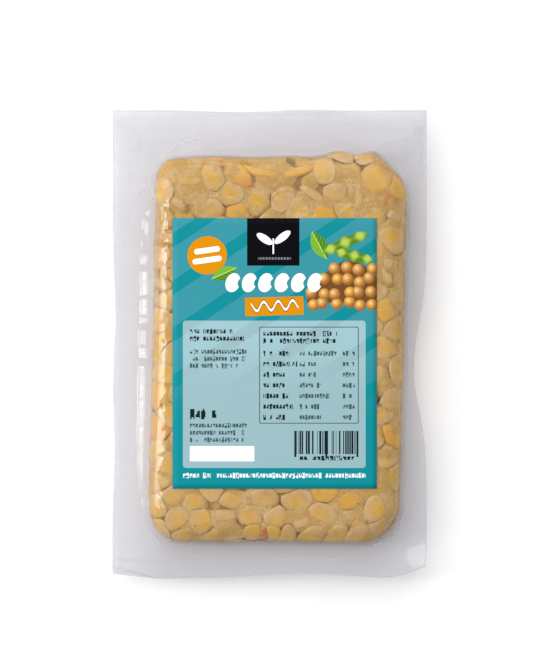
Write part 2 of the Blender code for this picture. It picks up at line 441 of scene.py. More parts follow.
def film_finish():
    """Clear film: a faint grey veil where it hangs free, nearly none where it clings, and gloss all over."""
    material, paint = new_material("clear_film")
    clinging = paint.attribute("clinging")
    inset = paint.attribute("inset")
    facing = paint.node("ShaderNodeLayerWeight", inputs={"Blend": 0.5}, output="Facing")
    weld = paint.eased(inset, 2.0 * MM, 2.4 * MM) * (1 - paint.eased(inset, 6.6 * MM, 7.0 * MM))
    cloudy = paint.cloud(24 * MM, 3.0) * 0.06
    y = paint.node("ShaderNodeSeparateXYZ", inputs=(paint.place(),), output="Y")
    crease_highlights = film_crease_highlights(paint)
    # Painted shade: the veil thickens towards the top edge, darkening the film where light falls in under that edge.
    painted_top_shade = paint.eased(y, 62 * MM, 80 * MM) * 0.11
    # The veil is at least as strong as the painted crease highlights.
    veil = ((0.24 + cloudy + 0.03 * weld + painted_top_shade) * (1 - clinging) + 0.012).at_least(crease_highlights)
    soft_folds = 1 - abs(paint.cloud(16 * MM, 1.0) - 0.5) * 14
    dimples = paint.cloud(7 * MM, 1.5, place=paint.shifted(0.7)) * clinging * 3.4
    height = dimples + paint.cloud(9 * MM, 2.0) + soft_folds.at_least(0.0) * 0.25 + 0.1 * weld
    surface = paint.bump(height, 0.25 * MM)
    through = paint.node("ShaderNodeBsdfTransparent", inputs={"Color": colour(249, 249, 251)})
    inputs = {"Color": colour(205, 204, 209), "Normal": surface}
    haze = paint.node("ShaderNodeBsdfDiffuse", inputs=inputs)
    body = paint.node("ShaderNodeMixShader", inputs=(veil, through, haze))
    far_end = paint.eased(y, 48 * MM, 58 * MM)
    dull = 0.06 + 0.14 * far_end
    gloss = paint.node("ShaderNodeBsdfGlossy", inputs={"Roughness": dull, "Normal": surface})
    mirror = 0.045 - 0.02 * far_end + 0.8 * facing**5
    finish_with(paint, paint.node("ShaderNodeMixShader", inputs=(mirror, body, gloss)))
    return material


class Artwork:
    """Paints shapes one over another on a flat sheet. Places are in millimetres from the sheet's middle."""

    def __init__(self, paint, middle, ground):
        self.paint = paint
        place = paint.place()
        parts = [paint.node("ShaderNodeSeparateXYZ", inputs=(place,), output=axis) for axis in "XY"]
        self.x = (parts[0] - middle[0]) / MM
        self.y = (parts[1] - middle[1]) / MM
        self.shade = ground

    def lay(self, mask, shade):
        self.shade = self.paint.mixed(mask, self.shade, shade)

    def axes(self, x, y, degrees):
        """How far along and across a line through a place each point is. The line rises by that angle."""
        turn = math.radians(degrees)
        right, up = self.x - x, self.y - y
        along = right * math.cos(turn) + up * math.sin(turn)
        return along, up * math.cos(turn) - right * math.sin(turn)

    def box(self, left, right, low, high, corner=0.3, lean=0.0):
        """A box with round corners."""
        along, across = self.axes((left + right) / 2, (low + high) / 2, lean)
        wide = (abs(along) - ((right - left) / 2 - corner)).at_least(0.0)
        tall = (abs(across) - ((high - low) / 2 - corner)).at_least(0.0)
        return wide * wide + tall * tall < corner**2

    def oval(self, x, y, length, width, degrees=0.0):
        along, across = self.axes(x, y, degrees)
        along, across = along * (2 / length), across * (2 / width)
        return along * along + across * across < 1.0

    def leaf(self, x, y, degrees, length, width):
        """A pointed leaf with a light middle rib and side veins."""
        along, across = self.axes(x, y, degrees)
        share = along * (2 / length)
        blade = abs(across) < (1 - share * share) * (width / 2)
        veins = ((along - abs(across) * 1.2) % (length / 7) < length / 40) * 0.5
        tint = self.paint.mixed((across > 0.0) * 0.8, colour(66, 128, 30), colour(126, 178, 50))
        tint = self.paint.mixed(veins, tint, colour(160, 205, 92))
        self.lay(blade, self.paint.mixed(abs(across) < 0.16, tint, colour(176, 214, 110)))

    def pod(self, x, y, degrees, length, width):
        """A bean pod, which bulges over each of its beans."""
        along, across = self.axes(x, y, degrees)
        share = along * (2 / length)
        bulge = self.paint.node("ShaderNodeMath", {"operation": "COSINE"}, (along * (6 * math.pi / length),))
        room = (1 - share * share).at_least(0.0) ** 0.5 * (0.86 + 0.14 * bulge) * (width / 2)
        light = self.paint.eased(bulge * 0.5 - abs(across - 0.3) / width * 2, -0.9, 0.4)
        self.lay(abs(across) < room, self.paint.mixed(light, colour(84, 126, 26), colour(178, 204, 84)))

    def noise(self, along, row):
        """An even chance for each cell of a row."""
        cell = self.paint.node("ShaderNodeCombineXYZ", inputs=(abs(along).__floor__(), row, 0.0))
        return self.paint.node("ShaderNodeTexWhiteNoise", {"noise_dimensions": "2D"}, {"Vector": cell})

    def lines(self, left, right, top, rows, pitch, height, letter=1.0, ragged=0.3, seed=0.5):
        """Rows of made-up writing: strokes in groups like words, with ragged row ends."""
        down = (top - self.y) / pitch
        row = down.__floor__() + seed
        along = (self.x - left) / letter
        end = (right - left) / letter * (1 - self.noise(row * 0.0, row * 7.0) * ragged)
        inside = (along > 0.0) * (along < end) * down.near(rows / 2, rows / 2)
        chance = self.noise(along, row)
        tall = height / pitch * (0.36 + 0.14 * (chance > 0.7))
        stroke = (down % 1.0).near(0.5, tall) * (along % 1.0).near(0.46, 0.4)
        worn = self.noise(along * 3.0, ((down * 4.0).__floor__() + seed)) > 0.2
        return inside * stroke * worn * (chance > 0.11)


def label_finish():
    """The print: stripes, a dark tab, a round badge, a heap of beans with pods, and a pale panel of small lines."""
    material, paint = new_material("label_print")
    middle = (LABEL_LOW + LABEL_HIGH) / 2
    art = Artwork(paint, middle, colour(10, 135, 145))
    half_width, half_length = (LABEL_HIGH.x - LABEL_LOW.x) / 2 / MM, (LABEL_HIGH.y - LABEL_LOW.y) / 2 / MM
    white, ink, orange = colour(250, 250, 250), colour(18, 30, 36), colour(215, 138, 2)

    # Stripes, which fade downwards.
    _, across = art.axes(0.0, 0.0, 34.0)
    light_band = (across % 13.6) < 9.4
    art.lay(light_band * paint.eased(art.y, -24.0, 4.0), colour(54, 143, 155))

    # The heap of beans at the right, with two pods and a leaf.
    lines = paint.node("ShaderNodeCombineXYZ", inputs=(art.x, art.y, 0.0))
    settings = {"voronoi_dimensions": "2D"}
    cells = paint.node("ShaderNodeTexVoronoi", settings, {"Vector": lines, "Scale": 1 / 4.1, "Randomness": 0.4})
    seat = [paint.node("ShaderNodeSeparateXYZ", inputs=(cells.also("Position"),), output=axis) for axis in "XY"]
    reach = (seat[0] - 26.0) / 17.0
    heaped = (seat[1] > 16.0) * (seat[1] - 16.0 < 18.0 * (1 - reach * reach))
    from_seat = [art.x - seat[0] + 0.5, art.y - seat[1] - 0.6]
    glow = (from_seat[0] * from_seat[0] + from_seat[1] * from_seat[1]) ** 0.5
    chance = paint.node("ShaderNodeSeparateXYZ", inputs=(cells.also("Color"),))
    flesh = paint.mixed(chance, colour(216, 166, 104), colour(240, 176, 72))
    rounded = paint.mixed(paint.eased(glow, 0.2, 2.5), flesh, colour(150, 96, 44))
    rounded = paint.mixed(paint.eased(glow, 0.0, 0.9) * -0.6 + 0.6, rounded, colour(252, 222, 160))
    reach = (art.x - 26.0) / 15.2
    art.lay((art.y > 17.6) * (art.y - 17.6 < 14.6 * (1 - reach * reach)), colour(112, 72, 34))
    art.lay(heaped * (cells.also("Distance") < 0.5), rounded)
    art.leaf(15.5, 37.6, 118.0, 11.0, 5.4)
    art.pod(24.6, 38.4, 24.0, 17.0, 4.6)
    art.pod(27.6, 33.8, -14.0, 14.0, 4.2)

    # The tab, with a sprout over a row of dots.
    art.lay(art.box(-9.6, 8.6, 30.5, 50.0), colour(3, 3, 9))
    art.lay(art.oval(-3.5, 39.8, 6.4, 2.6, 146.0), white)
    art.lay(art.oval(2.7, 40.4, 6.8, 2.6, 38.0), white)
    art.lay(art.box(-0.75, -0.25, 34.6, 40.0, 0.1), white)
    art.lay(art.box(-5.8, 5.6, 32.6, 33.4, 0.1) * ((art.x % 1.05) < 0.7), colour(120, 124, 132))

    # The badge.
    art.lay(art.oval(-23.5, 34.1, 13.8, 13.2, 20.0), orange)
    for row, (left, right) in enumerate(((-28.0, -19.0), (-28.6, -18.4))):
        low = 34.9 - 3.4 * row
        art.lay(art.box(left, right, low, low + 1.9, 0.9, 8.0), white)
    art.leaf(-17.6, 27.8, 24.0, 9.6, 4.6)

    # The title: a row of beans, and a box with a wavy stroke under it.
    step = (art.x + 17.4) / 5.7
    beans_in_row = (step > 0.0) * (step < 6.0)
    along, up = ((step % 1.0) - 0.5) * 2.24, (art.y - 24.6) / 3.3
    lean = along - up * 0.2
    notch = (lean - 1.1) * (lean - 1.1) + up * up < 0.2
    art.lay(beans_in_row * (lean * lean + up * up < 1.0) * (1 - notch), white)
    art.lay(art.box(-10.3, 10.0, 13.2, 19.6, 0.2, 1.5), orange)
    along, across = art.axes(0.0, 16.6, 3.0)
    wave = paint.node("ShaderNodeMath", {"operation": "SINE"}, (along * 1.25,)) * 1.5
    for reach, shade in ((0.85, colour(90, 66, 26)), (0.5, white)):
        art.lay(abs(across - wave) < reach * (abs(along) < 8.2), shade)

    # The panel.
    art.lay(art.box(-31.9, 31.6, -39.8, 11.4, 1.1), colour(146, 179, 185))
    art.lay(art.box(-31.9, 31.6, -39.8, 11.4, 1.1) * light_band * paint.eased(art.y, -16.0, 6.0), colour(153, 189, 195))
    bold, plain = ink, colour(62, 84, 92)
    for mask, shade in (
        (art.lines(-29.5, -8.9, 8.9, 2, 2.5, 1.9, 1.15, 0.45, 1.5), bold),
        (art.lines(-29.5, -9.0, 1.8, 3, 2.45, 1.8, 1.0, 0.2, 2.5), plain),
        (art.lines(-29.5, -20.0, -18.9, 1, 4.4, 3.6, 1.9, 0.0, 4.5), bold),
        (art.lines(-29.5, -8.2, -23.8, 3, 2.5, 1.8, 1.0, 0.2, 5.5), plain),
    ):
        art.lay(mask, shade)
    art.lay(art.box(-29.5, -7.1, -37.5, -32.2, 0.3), white)

    # The table.
    frame_line = art.box(-5.4, 29.2, -24.4, 9.3, 0.6) * (1 - art.box(-5.1, 28.9, -24.1, 9.0, 0.4))
    art.lay(frame_line * 0.8, ink)
    for mask, shade in (
        (art.lines(-4.0, 25.0, 8.1, 2, 2.5, 1.9, 1.15, 0.2, 6.5), bold),
        (art.lines(-4.0, 8.0, 1.85, 7, 3.7, 1.9, 1.1, 0.4, 7.5), bold),
        (art.lines(8.6, 21.8, 1.85, 7, 3.7, 1.8, 1.0, 0.6, 8.5), plain),
        (art.lines(23.6, 28.0, 1.85, 7, 3.7, 1.8, 1.1, 0.0, 9.5), plain),
    ):
        art.lay(mask, shade)

    # Bars, in stripes of chance width, and the small row at the foot.
    chance = art.noise(art.x / 0.36 + 200.0, 40.0)
    bar = (art.x / 0.36 + 200.0) % 2.0
    bars = (chance < 0.56) * (1 - (bar > 1.5) * (art.noise(art.x / 0.72, 41.0) < 0.8))
    art.lay(art.box(6.8, 29.1, -35.0, -26.9, 0.02) * bars, ink)
    for side in (6.8, 17.6, 28.4):
        art.lay(art.box(side, side + 0.7, -36.0, -26.9, 0.02), ink)
    art.lay(art.lines(8.6, 27.6, -35.2, 1, 2.4, 1.7, 1.5, 0.0, 10.5), ink)
    art.lay(art.lines(-31.9, 31.6, -41.2, 1, 2.5, 1.9, 1.15, 0.0, 11.5) * 0.85, white)

    worn = paint.cloud(30 * MM, 3.0)
    inputs = {
        "Base Color": art.shade,
        "Roughness": 0.38 + worn * 0.2,
        "Specular IOR Level": 0.06,
        "Normal": paint.bump(paint.cloud(0.5 * MM, 3.0), 0.01 * MM),
    }
    finish_with(paint, paint.node("ShaderNodeBsdfPrincipled", inputs=inputs))
    return material


def floor_finish():
    material, paint = new_material("pale_floor")
    inputs = {"Base Color": (0.97, 0.97, 0.97, 1.0), "Roughness": 0.8}
    finish_with(paint, paint.node("ShaderNodeBsdfPrincipled", inputs=inputs))
    return material


# ---- Mesh tools ----


def linked(name, mesh, material):
    obj = bpy.data.objects.new(name, mesh)
    bpy.context.scene.collection.objects.link(obj)
    if material:
        mesh.materials.clear()
        mesh.materials.append(material)
    return obj


def mesh_of(name, points, faces, smooth=True):
    mesh = bpy.data.meshes.new(name)
    mesh.from_pydata([tuple(point) for point in points], [], faces)
    if smooth:
        mesh.shade_smooth()
    return mesh


def points_of(mesh):
    flat = np.empty(len(mesh.vertices) * 3)
    mesh.vertices.foreach_get("co", flat)
    return flat.reshape(-1, 3)


def move_points(mesh, points):
    mesh.vertices.foreach_set("co", np.asarray(points, dtype=float).ravel())
    mesh.update()


def write_attribute(mesh, name, values):
    attribute = mesh.attributes.get(name) or mesh.attributes.new(name, "FLOAT", "POINT")
    attribute.data.foreach_set("value", np.asarray(values, dtype=float).ravel())


def made_plain(obj, name, material):
    """The object's evaluated mesh as a plain object, in its place."""
    graph = bpy.context.evaluated_depsgraph_get()
    mesh = bpy.data.meshes.new_from_object(
        obj.evaluated_get(graph), preserve_all_data_layers=True, depsgraph=graph
    )
    bpy.data.objects.remove(obj)
    mesh.name = name
    return linked(name, mesh, material)


# ---- The cake's own shape ----


def plan_distance(points):
    """How far outside the cake's outline each point lies, seen from above."""
    across = points[:, 1] - CAKE_CENTRE[1]
    side = points[:, 0] - CAKE_CENTRE[0] - CAKE_LEAN * across
    lower = np.where(side < 0, CAKE_CORNERS["bottom_left"], CAKE_CORNERS["bottom_right"])
    upper = np.where(side < 0, CAKE_CORNERS["top_left"], CAKE_CORNERS["top_right"])
    radius = np.where(across < 0, lower, upper)
    beyond_side = np.abs(side) - CAKE_WIDTH / 2 + radius
    beyond_end = np.abs(across) - CAKE_LENGTH / 2 + radius
    corner = np.hypot(np.maximum(beyond_side, 0), np.maximum(beyond_end, 0))
    return corner + np.minimum(np.maximum(beyond_side, beyond_end), 0) - radius


def edge_frame(flat):
    """(how far outside the cake's outline, the way out, the outline's nearest point) of places on the ground."""
    step = 0.05 * MM
    slopes = [plan_distance(flat + axis * step) - plan_distance(flat - axis * step) for axis in np.eye(2)]
    way = np.stack(slopes, axis=1) / (2 * step)
    distance = plan_distance(flat)
    return distance, way, flat - way * distance[:, None]


def uneven_edge(obj):
    """Moves the piece's points so that the cake's edge swells and dips as it runs round."""
    points = points_of(obj.data)
    distance, way, foot = edge_frame(points[:, :2])
    swell = EDGE_SWELL * np.array([noise.noise(Vector((*spot, 0)) / EDGE_LENGTH) for spot in foot])
    for x, y, height, spread in EDGE_HUMPS:
        swell += height * np.exp(-np.sum((foot - (x, y)) ** 2, axis=1) / spread**2)
    points[:, :2] += way * (swell * np.exp(-((distance / EDGE_FADE) ** 2)))[:, None]
    move_points(obj.data, points)


def cake_distance(points):
    """How far outside the cake's surface each point lies."""
    flat = plan_distance(points) + SHOULDER
    tall = np.abs(points[:, 2] - SEAM_HEIGHT) - CAKE_HEIGHT / 2 + SHOULDER
    return np.hypot(np.maximum(flat, 0), np.maximum(tall, 0)) + np.minimum(np.maximum(flat, tall), 0) - SHOULDER


def way_out(points):
    """The direction in which the distance from the cake grows."""
    step = 0.05 * MM
    slopes = []
    for axis in np.eye(3):
        slopes.append(cake_distance(points + axis * step) - cake_distance(points - axis * step))
    way = np.stack(slopes, axis=1)
    return way / np.maximum(np.linalg.norm(way, axis=1, keepdims=True), 1e-12)


def box_tree():
    """A box of even quads."""
    tree = bpy.data.node_groups.new("box_of_quads", "GeometryNodeTree")
    tree.interface.new_socket("Geometry", in_out="OUTPUT", socket_type="NodeSocketGeometry")
    for name in ("Width", "Length", "Height", "Cell"):
        tree.interface.new_socket(name, in_out="INPUT", socket_type="NodeSocketFloat")
    tree.interface.new_socket("Material", in_out="INPUT", socket_type="NodeSocketMaterial")
    work = Tree(tree)
    given = work.node("NodeGroupInput")
    sides = [given.also(name) for name in ("Width", "Length", "Height")]
    counts = [side / given.also("Cell") for side in sides]
    shape = work.node("ShaderNodeCombineXYZ", inputs=sides)
    inputs = {"Size": shape, "Vertices X": counts[0], "Vertices Y": counts[1], "Vertices Z": counts[2]}
    box = work.node("GeometryNodeMeshCube", inputs=inputs)
    whole = work.node("GeometryNodeRealizeInstances", inputs=(box,))
    painted = work.node("GeometryNodeSetMaterial", inputs={"Geometry": whole, "Material": given.also("Material")})
    work.node("NodeGroupOutput", inputs=(painted,))
    return tree


def grown(obj, tree, values, material):
    """The object that a tree of nodes makes of this one, as a plain mesh."""
    modifier = obj.modifiers.new(tree.name, "NODES")
    modifier.node_group = tree
    for socket in tree.interface.items_tree:
        if socket.in_out == "INPUT" and socket.name in values:
            modifier[socket.identifier] = values[socket.name]
    return made_plain(obj, obj.name, material)


def slab(name, depth, cell, material, relief=0.0):
    """A closed skin at a depth under the cake's surface, with patches that lie deeper by its relief."""
    obj = linked(name, bpy.data.meshes.new(name), None)
    values = {
        "Width": CAKE_WIDTH + 4 * MM,
        "Length": CAKE_LENGTH,
        "Height": CAKE_HEIGHT,
        "Cell": cell,
        "Material": material,
    }
    obj = grown(obj, box_tree(), values, material)
    points = points_of(obj.data) + (CAKE_CENTRE[0], CAKE_CENTRE[1], SEAM_HEIGHT)
    points[:, 0] += CAKE_LEAN * (points[:, 1] - CAKE_CENTRE[1])
    opened = np.clip([5 * noise.noise(Vector(point) / (5 * MM)) - OPEN_LEVEL for point in points], 0, 1)
    for _ in range(6):
        points -= way_out(points) * (cake_distance(points) + depth + relief * opened)[:, None]
    move_points(obj.data, points)
    write_attribute(obj.data, "depth", depth + relief * opened)
    obj.data.shade_smooth()
    return obj


# ---- The beans ----


def bean_tree():
    """Soybean halves scattered over a surface: domed on one side, flatter on the other, turned at random."""
    tree = bpy.data.node_groups.new("scattered_beans", "GeometryNodeTree")
    tree.interface.new_socket("Geometry", in_out="OUTPUT", socket_type="NodeSocketGeometry")
    tree.interface.new_socket("Geometry", in_out="INPUT", socket_type="NodeSocketGeometry")
    for name in ("Spacing", "Length", "Width", "Thickness", "Tilt", "Edge Share"):
        tree.interface.new_socket(name, in_out="INPUT", socket_type="NodeSocketFloat")
    for name in ("Seed", "Segments", "Rings"):
        tree.interface.new_socket(name, in_out="INPUT", socket_type="NodeSocketInt")
    tree.interface.new_socket("Material", in_out="INPUT", socket_type="NodeSocketMaterial")
    work = Tree(tree)
    given = work.node("NodeGroupInput")
    seed = given.also("Seed")

    def chance(low, high, offset, kind="FLOAT"):
        first = {"FLOAT_VECTOR": 0, "FLOAT": 2}[kind]
        inputs = {first: low, first + 1: high, 8: seed + offset}
        return work.node("FunctionNodeRandomValue", {"data_type": kind}, inputs, output=first // 2)

    def keep(geometry, name, value, kind="FLOAT"):
        settings = {"data_type": kind, "domain": "POINT"}
        inputs = {"Geometry": geometry, "Name": name, "Value": value}
        return work.node("GeometryNodeStoreNamedAttribute", settings, inputs)

    spread = work.node(
        "GeometryNodeDistributePointsOnFaces",
        {"distribute_method": "POISSON"},
        {"Mesh": given.also("Geometry"), "Distance Min": given.also("Spacing"), "Density Max": 900000.0, "Seed": seed},
    )
    on_edge = chance(0.0, 1.0, 1) < given.also("Edge Share")
    sunk = given.also("Thickness") * (0.2 + 0.36 * chance(0.0, 1.0, 3))
    sunk_edge = given.also("Width") * 0.36
    depth = sunk + (sunk_edge - sunk) * on_edge
    inwards = work.node("ShaderNodeVectorMath", {"operation": "SCALE"}, {0: spread.also("Normal"), "Scale": depth * -1.0})
    placed = work.node("GeometryNodeSetPosition", inputs={"Geometry": spread, "Offset": inwards})
    toned = keep(placed, "tone", chance(0.0, 0.955, 2))

    inputs = {"Segments": given.also("Segments"), "Rings": given.also("Rings"), "Radius": 1.0}
    ball = work.node("GeometryNodeMeshUVSphere", inputs=inputs)
    where = work.node("GeometryNodeInputPosition")
    x, y, z = [work.node("ShaderNodeSeparateXYZ", inputs=(where,), output=axis) for axis in "XYZ"]
    domed = abs(z) ** 0.65 * (1 - (z < 0.0) * 1.55)
    half = work.node("ShaderNodeCombineXYZ", inputs=(x, y, domed))
    bean = keep(keep(ball, "heart", abs(z)), "half_bean", half, "FLOAT_VECTOR")
    sides = [given.also(name) * 0.5 for name in ("Length", "Width", "Thickness")]
    size = work.node("ShaderNodeCombineXYZ", inputs=sides)
    shape = work.node("ShaderNodeVectorMath", {"operation": "MULTIPLY"}, (half, size))
    bean = work.node("GeometryNodeSetPosition", inputs={"Geometry": bean, "Position": shape})

    tilt = given.also("Tilt")
    leaning = (tilt * chance(-1.0, 1.0, 4) + 1.25 * on_edge, tilt * chance(-1.0, 1.0, 5), 0.0)
    turned = spread.also("Rotation")
    for angles in ((0.0, 0.0, chance(-math.pi, math.pi, 6)), leaning):
        angles = work.node("ShaderNodeCombineXYZ", inputs=angles)
        turn = work.node("FunctionNodeEulerToRotation", inputs=(angles,))
        turned = work.node("FunctionNodeRotateRotation", {"rotation_space": "LOCAL"}, (turned, turn))
    sizes = chance((0.82, 0.8, 0.85), (1.12, 1.1, 1.15), 7, "FLOAT_VECTOR")
    inputs = {"Points": toned, "Instance": bean, "Rotation": turned, "Scale": sizes}
    beans = work.node("GeometryNodeInstanceOnPoints", inputs=inputs)
    whole = work.node("GeometryNodeRealizeInstances", inputs=(beans,))
    painted = work.node("GeometryNodeSetMaterial", inputs={"Geometry": whole, "Material": given.also("Material")})
    work.node("NodeGroupOutput", inputs=(painted,))
    return tree


def read_attribute(mesh, name, width):
    values = np.empty(len(mesh.vertices) * width)
    mesh.attributes[name].data.foreach_get("vector" if width == 3 else "value", values)
    return values.reshape(-1, width)


def marked_frame(mark):
    """The middle and the three half axes of a bean that has a place of its own."""
    x, y, degrees, length, thickness, _, on_edge = mark
    spot = np.array([[x * MM + CAKE_CENTRE[0], y * MM + CAKE_CENTRE[1], CAKE_HEIGHT]])
    spot -= way_out(spot) * cake_distance(spot)[:, None]
    normal = way_out(spot)[0]
    turn = math.radians(degrees)
    along = np.array([math.cos(turn), math.sin(turn), 0.0])
    along -= normal * (along @ normal)
    along /= np.linalg.norm(along)
    half_length, half_thickness = length * MM / 2, thickness * MM / 2
    if on_edge:
        middle = spot[0] - normal * BEAN_WIDTH * 0.3
        return middle, np.stack((along * half_length, normal * BEAN_WIDTH / 2, np.cross(along, normal) * half_thickness))
    half_width = half_length * BEAN_WIDTH / BEAN_LENGTH
    middle = spot[0] - normal * half_thickness * 0.6
    return middle, np.stack((along * half_length, np.cross(normal, along) * half_width, normal * half_thickness))


def squeezed(points, middles, axes, claims):
    """Each bean's points, drawn back towards its middle to where they leave its neighbours."""
    inverses = np.linalg.inv(axes) * (1, 1, 0.5) * claims[:, None, None]
    apart = np.linalg.norm(middles[:, None] - middles[None], axis=-1)
    reach = np.linalg.norm(axes, axis=-1).max(axis=1)
    result = points.copy()
    for index, own in enumerate(points):
        near = np.nonzero(apart[index] < reach[index] + reach)[0]
        near = near[near != index]
        ray = own - middles[index]
        inside = np.sum((ray @ inverses[index]) ** 2, axis=-1)
        start = np.einsum("ni,nij->nj", middles[index] - middles[near], inverses[near])[:, None]
        step = np.einsum("vi,nij->nvj", ray, inverses[near])
        curve = inside - np.sum(step**2, axis=-1)
        slope = -2 * np.sum(start * step, axis=-1)
        square = slope**2 + 4 * curve * np.sum(start**2, axis=-1)
        below = slope + np.sqrt(np.maximum(square, 0))
        meets = (square > 0) & (below > 0)
        share = np.where(meets, 2 * np.sum(start**2, axis=-1) / np.where(meets, below, 1), 9.0).min(axis=0)
        wide = CREVICE * (1 + noise.noise(Vector(middles[index]) / (9 * MM)))
        uneven = np.array([noise.noise(Vector(point) / (3.5 * MM)) for point in own])
        result[index] = middles[index] + ray * (np.minimum(1, share * (1 - wide)) * (1 + RUGGED * uneven))[:, None]
    return result


def pressed(points):
    """The beans' points, pressed back under the cake's surface, with the rims drawn up towards it."""
    distance = cake_distance(points)
    depth = PRESS * np.logaddexp(0.0, -distance / PRESS)
    depth -= (1 - RIM_SLOPE) * np.minimum(depth, RIM_DEPTH)
    return points - way_out(points) * (distance + depth)[:, None]


def beans(material):
    values = {
        "Spacing": BEAN_SPACING,
        "Length": BEAN_LENGTH,
        "Width": BEAN_WIDTH,
        "Thickness": BEAN_THICKNESS,
        "Tilt": 0.38,
        "Edge Share": 0.14,
        "Seed": BEAN_SEED,
        "Segments": BEAN_SEGMENTS,
        "Rings": BEAN_RINGS,
        "Material": material,
    }
    mesh = grown(slab("scatter", 0.0, 3 * MM, material), bean_tree(), values, material).data
    size = BEAN_SEGMENTS * (BEAN_RINGS - 1) + 2
    half = read_attribute(mesh, "half_bean", 3)[:size]
    tones = read_attribute(mesh, "tone", 1)[::size, 0]
    faces = np.array([list(face.vertices) + [-1] * (4 - len(face.vertices)) for face in mesh.polygons])
    faces = faces[: len(faces) * size // len(mesh.vertices)]
    fit = np.linalg.pinv(np.column_stack((half, np.ones(size))))
    frames = np.einsum("kv,nvi->nki", fit, points_of(mesh).reshape(-1, size, 3))
    axes, middles = frames[:, :3], frames[:, 3]

    for mark in MARKED_BEANS:
        middle, own_axes = marked_frame(mark)
        covered = np.linalg.norm((middles - middle) @ (np.linalg.inv(own_axes) * (1, 1, 0.5)), axis=1) < 0.9
        middles = np.concatenate((middles[~covered], [middle]))
        axes = np.concatenate((axes[~covered], [own_axes]))
        tones = np.append(tones[~covered], mark[5])

    claims = np.ones(len(middles))
    claims[-len(MARKED_BEANS) :] = MARKED_CLAIM
    points = squeezed(half @ axes + middles[:, None], middles, axes, claims).reshape(-1, 3)
    starts = np.arange(len(middles)) * size
    all_faces = [[number + start for number in face if number >= 0] for start in starts.tolist() for face in faces.tolist()]
    obj = linked("beans", mesh_of("beans", points, all_faces), material)
    softener = obj.modifiers.new("soft_edges", "SMOOTH")
    softener.factor = 0.4
    softener.iterations = 1
    write_attribute(obj.data, "tone", np.repeat(tones, size))
    hearts = np.tile(read_attribute(mesh, "heart", 1)[:size, 0], (len(middles), 1))
    hearts[-len(MARKED_BEANS) :] = 0.7 + 0.3 * hearts[-len(MARKED_BEANS) :]
    write_attribute(obj.data, "heart", hearts)
    bpy.data.objects.remove(bpy.data.objects["scatter"])
    obj = made_plain(obj, "beans", material)
    points = pressed(points_of(obj.data))
    move_points(obj.data, points)
    write_attribute(obj.data, "depth", -cake_distance(points))
    return obj


# ---- The film ----


def outline(side, share, outwards):
    """The points that lie outwards of shares of one side of the cake's outline."""
    first, last, axis, sign = SIDES[side]
    half_along = (CAKE_WIDTH, CAKE_LENGTH)[axis] / 2
    half_across = (CAKE_LENGTH, CAKE_WIDTH)[axis] / 2
    begin = CAKE_CORNERS[first] - half_along
    end = half_along - CAKE_CORNERS[last]
    shares = (0, CORNER_SHARE, 1 - CORNER_SHARE, 1)
    turn = math.pi / 4 * np.interp(share, shares, (-1, 0, 0, 1))
    radius = np.where(share < 0.5, CAKE_CORNERS[first], CAKE_CORNERS[last])
    along = np.interp(share, shares, (begin, begin, end, end)) + (radius + outwards) * np.sin(turn)
    across = sign * (half_across - radius + (radius + outwards) * np.cos(turn))
    return on_ground(axis, along, across)


def on_ground(axis, along, across):
    x, y = (along, across) if axis == 0 else (across, along)
    return np.stack((x + CAKE_CENTRE[0] + CAKE_LEAN * y, y + CAKE_CENTRE[1]), axis=-1)


def middle_line(side, share):
    half = (CAKE_LENGTH - CAKE_WIDTH) / 2
    along = {"bottom": -half, "top": half}.get(side, (2 * share - 1) * half)
    return on_ground(1, along + 0 * share, 0 * share)


def pouch_edge(side, share):
    """The points at shares of one side of the pouch's own edge."""
    half_width, half_length = POUCH_HIGH.x, POUCH_HIGH.y
    first, last, axis, sign = SIDES[side]
    half = (half_width, half_length)[axis]
    half_cake = (CAKE_WIDTH, CAKE_LENGTH)[axis] / 2
    begin = (CAKE_CORNERS[first] - half_cake + CAKE_CENTRE[axis]) / half
    end = (half_cake - CAKE_CORNERS[last] + CAKE_CENTRE[axis]) / half
    along = np.interp(share, (0, CORNER_SHARE, 1 - CORNER_SHARE, 1), (-1, begin, end, 1))
    bow = np.cos(along * math.pi / 2) ** 2
    if side == "right":
        waist = WAIST_DEPTH * np.exp(-(((along * half - WAIST_HEIGHT) / WAIST_SPREAD) ** 2))
        return np.stack((half_width - waist, along * half), axis=-1)
    if side == "left":
        wave = LEFT_WAVE * bow * (1 + np.sin(3 * math.pi * along))
        return np.stack((wave - half_width, along * half), axis=-1)
    if side == "bottom":
        wave = FOOT_WAVE * np.exp(-(((along - FOOT_WAVE_PLACE) / FOOT_WAVE_SPREAD) ** 2))
    else:
        wave = END_WAVE * bow * (1 - np.sin(2 * math.pi * along))
    return np.stack((along * half, sign * (half_length - wave)), axis=-1)


